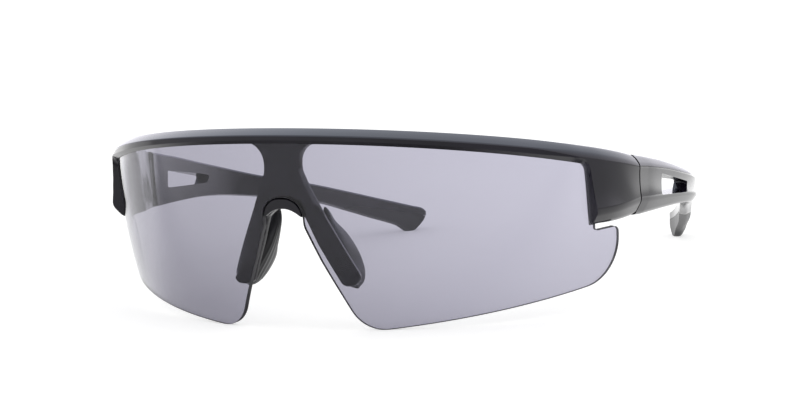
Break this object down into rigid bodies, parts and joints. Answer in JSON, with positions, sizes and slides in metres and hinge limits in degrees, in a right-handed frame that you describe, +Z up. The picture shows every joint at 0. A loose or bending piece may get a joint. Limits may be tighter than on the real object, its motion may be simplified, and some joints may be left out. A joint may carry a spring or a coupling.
{
  "type": "sunglasses",
  "caption": "Wraparound sports sunglasses: a semi-rimless shield lens hangs under a brow bar, a nose bridge carries soft pads, and slim temples fold on hinges.",
  "frame": {"origin": "on the surface the sunglasses stand on, under the middle of their overall length and width", "axes": "+X to the wearer's left, -Y the way the wearer looks (the lens faces -Y), +Z up; the temples run back along +Y"},
  "size_m": [0.1454, 0.1788, 0.0492],
  "materials": {
    "black_plastic": "glossy black moulded nylon",
    "smoke_lens": "clear grey-violet polycarbonate, polished",
    "rubber": "matt soft black rubber",
    "steel": "plain hinge steel",
    "nylon": "natural nylon washer"
  },
  "bodies": {
    "front": {"front_frame": "black_plastic", "lens": "smoke_lens", "left_nose_pad": "rubber", "left_hinge_front_leaf": "steel", "left_front_leaf_screw": "steel", "left_pivot_screw": "steel", "left_hinge_washer": "nylon", "right_nose_pad": "rubber", "right_hinge_front_leaf": "steel", "right_front_leaf_screw": "steel", "right_pivot_screw": "steel", "right_hinge_washer": "nylon"},
    "left_arm": {"left_temple": "black_plastic", "left_temple_grip": "rubber", "left_hinge_temple_leaf": "steel", "left_temple_leaf_screw": "steel"},
    "right_arm": {"right_temple": "black_plastic", "right_temple_grip": "rubber", "right_hinge_temple_leaf": "steel", "right_temple_leaf_screw": "steel"}
  },
  "joints": [
    {"name": "left_temple_fold", "type": "hinge", "parent": "front", "child": "left_arm", "pos_m": [0.06789, -0.03328, 0.031], "axis": [0, 0, 1], "range_deg": [0, 80]},
    {"name": "right_temple_fold", "type": "hinge", "parent": "front", "child": "right_arm", "pos_m": [-0.06789, -0.03328, 0.031], "axis": [0, 0, -1], "range_deg": [0, 70]}
  ]
}
